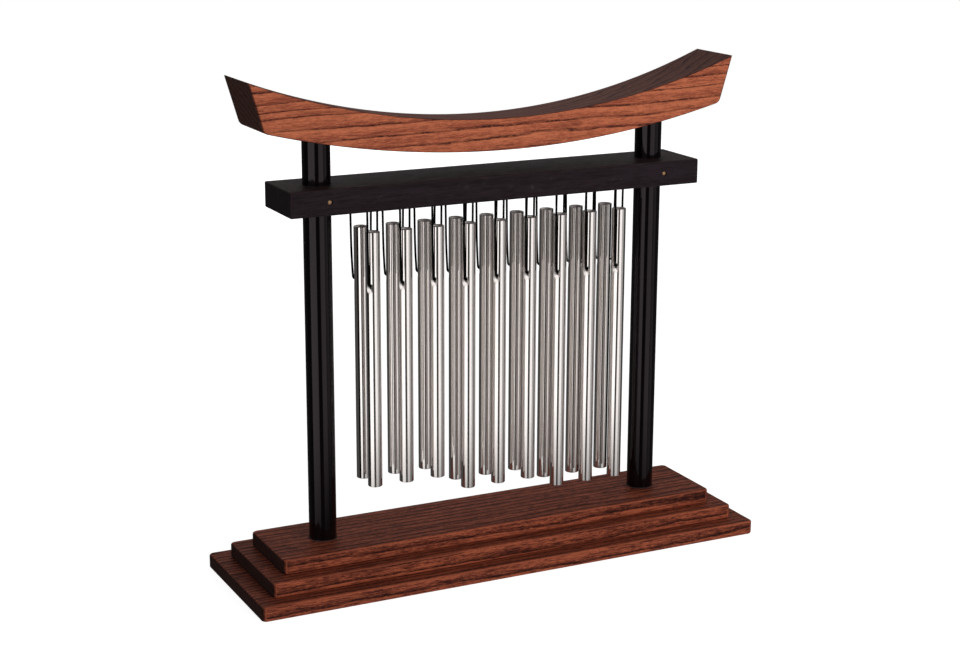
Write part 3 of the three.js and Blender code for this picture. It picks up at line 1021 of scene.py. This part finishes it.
class CHIME_OT_fasteners(Operator):
    """Makes the crossbar's pins and the screws under the posts"""

    bl_idname = "chime.fasteners"
    bl_label = "Pins and screws"

    def execute(self, context):
        brass = nail_brass()
        steel = screw_steel()
        for side, spot in zip(("left", "right"), POST_PLACES):
            low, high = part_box(f"crossbar_pin_{side}")
            head = (high.x - low.x) / 2
            shank = head * PIN_SHANK_SHARE
            length = high.y - low.y
            profile = [
                [0, 0], [head * 0.55, PIN_CROWN * 0.3], [head * 0.9, PIN_CROWN],
                [head, PIN_CROWN * 2.2], [head, PIN_HEAD_HEIGHT], [shank, PIN_HEAD_HEIGHT],
                [shank, length - PIN_POINT], [0, length],
            ]
            mesh = rotated(turned_mesh(profile, steps=32), -math.pi / 2, "X")
            moved(mesh, (spot.x, low.y, (low.z + high.z) / 2))
            name = f"brass_pin_{side}"
            finished(name, mesh, brass, BODY, [f"crossbar_pin_{side}"])
            mesh = moved(turned_mesh(countersunk_profile(0), steps=40), (spot.x, spot.y, 0))
            name = f"wood_screw_{side}"
            finished(name, mesh, steel, BODY, [f"post_screw_{side}"])
        return {"FINISHED"}


class CHIME_OT_tubes(Operator):
    """Makes the metal tubes of both rows"""

    bl_idname = "chime.tubes"
    bl_label = "Tubes"

    def execute(self, context):
        settings = context.scene.chime_tubes
        material = polished_metal(settings.metal, settings.bore_grey)
        for row, number in TUBES:
            node = f"chime_tube_{row}_{number}"
            low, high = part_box(node)
            outer = (high.y - low.y) / 2
            nod = joint_named(f"nod_{row}_{number}")
            hole = nod["pos_m"][2] - settings.cord_rise - high.z
            mesh = tube_mesh(high.z - low.z, settings, outer)
            for cutter in drill_meshes(settings, outer, hole):
                mesh = cut_away(mesh, cutter)
            along = Vector(nod["axis"])
            rotated(mesh, math.atan2(along.y, along.x), "Z")
            centre = Vector(((low.x + high.x) / 2, (low.y + high.y) / 2, high.z))
            moved(mesh, centre)
            name = f"polished_tube_{row}_{number}"
            piece = finished(
                name, mesh, material, f"chime_{row}_{number}", [node], sharp=28
            )
            note_tube_faces(piece.data, centre, outer - settings.wall)
        return {"FINISHED"}


class CHIME_OT_cords(Operator):
    """Makes the cords that hold the tubes"""

    bl_idname = "chime.cords"
    bl_label = "Cords"

    def execute(self, context):
        settings = context.scene.chime_tubes
        material = twisted_cord(settings.cord_colour)
        outline = strand_outline(settings.cord_diameter / 2)
        for row, number in TUBES:
            node = f"cord_{row}_{number}"
            swing = joint_named(f"swing_{row}_{number}")
            nod = joint_named(f"nod_{row}_{number}")
            low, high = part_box(f"chime_tube_{row}_{number}")
            outer = (high.y - low.y) / 2
            route = cord_route(node, swing, nod, outer, settings.cord_diameter, settings.cord_bow)
            mesh = cord_mesh(route, outline, settings.cord_twist)
            name = f"twisted_cord_{row}_{number}"
            finished(name, mesh, material, f"hanger_{row}_{number}", [node], sharp=60)
        bpy.data.objects.remove(outline)
        return {"FINISHED"}


class CHIME_OT_stage(Operator):
    """Makes the camera, the lamps, the reflector cards and the floor"""

    bl_idname = "chime.stage"
    bl_label = "Stage"

    def execute(self, context):
        settings = context.scene.chime_stage
        add_camera(context.scene, settings)
        add_floor(settings)
        add_lamps(settings)
        add_world(context.scene, settings)
        context.scene.view_settings.view_transform = "Standard"
        return {"FINISHED"}


def add_camera(scene, settings):
    data = bpy.data.cameras.new("camera")
    data.sensor_width = 36
    data.lens = settings.focal_length
    data.clip_start = 0.01
    camera = linked("camera", data)
    turn = Matrix.Rotation(-settings.camera_yaw, 4, "Z")
    tilt = Matrix.Rotation(math.pi / 2 + settings.camera_pitch, 4, "X")
    lean = Matrix.Rotation(settings.camera_roll, 4, "Z")
    camera.matrix_world = Matrix.Translation(settings.camera_place) @ turn @ tilt @ lean
    scene.camera = camera


def add_floor(settings):
    """A pale floor that looks white and keeps the object's shadow."""
    mesh = bmesh.new()
    bmesh.ops.create_grid(mesh, x_segments=1, y_segments=1, size=4)
    floor = object_of("floor", mesh)
    finish = Finish("pale_floor")
    camera_ray = finish.node("ShaderNodeLightPath", output="Is Camera Ray")
    matt = finish.node("ShaderNodeBsdfDiffuse", {}, {"Color": (*settings.floor_colour, 1)})
    soft = tuple(part * settings.shadow_depth for part in settings.floor_colour)
    shaded = finish.node("ShaderNodeBsdfDiffuse", {}, {"Color": (*soft, 1)})
    glow = finish.node("ShaderNodeEmission", {}, {"Color": (1, 1, 1, 1), "Strength": settings.floor_glow})
    seen = finish.node("ShaderNodeAddShader", {}, {0: shaded, 1: glow})
    shader = finish.node("ShaderNodeMixShader", {}, {0: camera_ray, 1: matt, 2: seen})
    finish.node("ShaderNodeOutputMaterial", {}, {"Surface": shader})
    floor.data.materials.append(finish.material)
    floor.visible_glossy = False


def direction(azimuth, elevation):
    """The way towards a lamp: azimuth 0 is the front, and 90 the right."""
    a, e = math.radians(azimuth), math.radians(elevation)
    return Vector((math.sin(a) * math.cos(e), -math.cos(a) * math.cos(e), math.sin(e)))


def add_lamp(name, azimuth, elevation, size, power):
    """A soft lamp that reflections don't show."""
    data = bpy.data.lights.new(name, "AREA")
    data.shape = "RECTANGLE"
    data.size, data.size_y = size
    data.energy = power
    lamp = linked(name, data)
    way = direction(azimuth, elevation)
    lamp.location = LAMP_TARGET + way * LAMP_DISTANCE
    lamp.rotation_euler = way.to_track_quat("Z", "Y").to_euler()
    lamp.visible_glossy = False


def add_card(name, start, end, strength):
    """An upright curved card that only reflections see, and that dims towards its foot."""
    mesh = bmesh.new()
    first = mesh.verts.new(direction(start, 0) * CARD_RADIUS + Vector((0, 0, CARD_FOOT)))
    bmesh.ops.spin(
        mesh, geom=[first], cent=(0, 0, 0), axis=(0, 0, 1), dvec=(0, 0, 0),
        angle=math.radians(end - start), steps=16, use_merge=False, use_duplicate=False
    )
    drawn = bmesh.ops.extrude_edge_only(mesh, edges=mesh.edges[:])
    upper = [item for item in drawn["geom"] if isinstance(item, bmesh.types.BMVert)]
    bmesh.ops.translate(mesh, vec=(0, 0, CARD_HEIGHT), verts=upper)
    card = object_of(name, mesh)
    finish = Finish(name)
    _, _, height = finish.axes(finish.place())
    lit = finish.smooth(height, CARD_DARK_BELOW / MM, CARD_FULL_ABOVE / MM)
    lit = finish.mix(lit, (0, 0, 0), (1, 1, 1))
    glow = finish.node("ShaderNodeEmission", {}, {"Color": lit, "Strength": strength})
    finish.node("ShaderNodeOutputMaterial", {}, {"Surface": glow})
    card.data.materials.append(finish.material)
    card.visible_camera = False
    card.visible_diffuse = False
    card.visible_shadow = False
    card.visible_transmission = False


def add_lamps(settings):
    add_lamp("key_lamp", azimuth=22, elevation=9, size=(0.9, 0.5), power=settings.key_power)
    add_lamp("rear_lamp", azimuth=165, elevation=14, size=(1.0, 0.6), power=settings.fill_power)
    for name, start, end, strength in CARDS:
        add_card(name, start, end, strength)


def add_world(scene, settings):
    """White to the camera, dim in reflections, and an even soft light on the object."""
    world = bpy.data.worlds.new("surroundings")
    scene.world = world
    finish = Finish("surroundings", owner=world)
    camera_ray = finish.node("ShaderNodeLightPath", output="Is Camera Ray")
    glossy_ray = finish.node("ShaderNodeLightPath", output="Is Glossy Ray")
    _, _, up = finish.axes(finish.node("ShaderNodeTexCoord", output="Generated"))
    steep = finish.smooth(finish.math("ABSOLUTE", up), 0.45, 0.8)
    mirrored = 0.06 + 0.16 * finish.smooth(up, 0.0, 0.25) + 0.5 * steep
    strength = finish.mix(glossy_ray, (settings.sky,) * 3, mirrored)
    seen = finish.mix(camera_ray, strength, (1, 1, 1))
    glow = finish.node("ShaderNodeBackground", {}, {"Color": seen, "Strength": 1.0})
    finish.node("ShaderNodeOutputWorld", {}, {"Surface": glow})


class CHIME_PT_panel(Panel):
    """Lists the chime's settings and operators in the sidebar"""

    bl_idname = "CHIME_PT_panel"
    bl_label = "Table chime"
    bl_space_type = "VIEW_3D"
    bl_region_type = "UI"
    bl_category = "Chime"

    def draw(self, context):
        for operator in OPERATORS:
            self.layout.operator(operator.bl_idname)
        for group in (context.scene.chime_wood, context.scene.chime_tubes, context.scene.chime_stage):
            box = self.layout.box()
            for name in group.__annotations__:
                box.prop(group, name)


OPERATORS = (
    CHIME_OT_stage,
    CHIME_OT_base,
    CHIME_OT_posts,
    CHIME_OT_crossbar,
    CHIME_OT_top_beam,
    CHIME_OT_fasteners,
    CHIME_OT_tubes,
    CHIME_OT_cords,
)
SETTINGS = {
    "chime_wood": ChimeWoodSettings,
    "chime_tubes": ChimeTubeSettings,
    "chime_stage": ChimeStageSettings,
}


def register():
    for kind in (*SETTINGS.values(), *OPERATORS, CHIME_PT_panel):
        bpy.utils.register_class(kind)
    for name, group in SETTINGS.items():
        setattr(bpy.types.Scene, name, PointerProperty(type=group))


def unregister():
    for name in SETTINGS:
        delattr(bpy.types.Scene, name)
    for kind in reversed((*SETTINGS.values(), *OPERATORS, CHIME_PT_panel)):
        bpy.utils.unregister_class(kind)


def main():
    register()
    bpy.ops.chime.stage()
    bpy.ops.chime.base()
    bpy.ops.chime.posts()
    bpy.ops.chime.crossbar()
    bpy.ops.chime.top_beam()
    bpy.ops.chime.fasteners()
    bpy.ops.chime.tubes()
    bpy.ops.chime.cords()


if __name__ == "__main__":
    main()
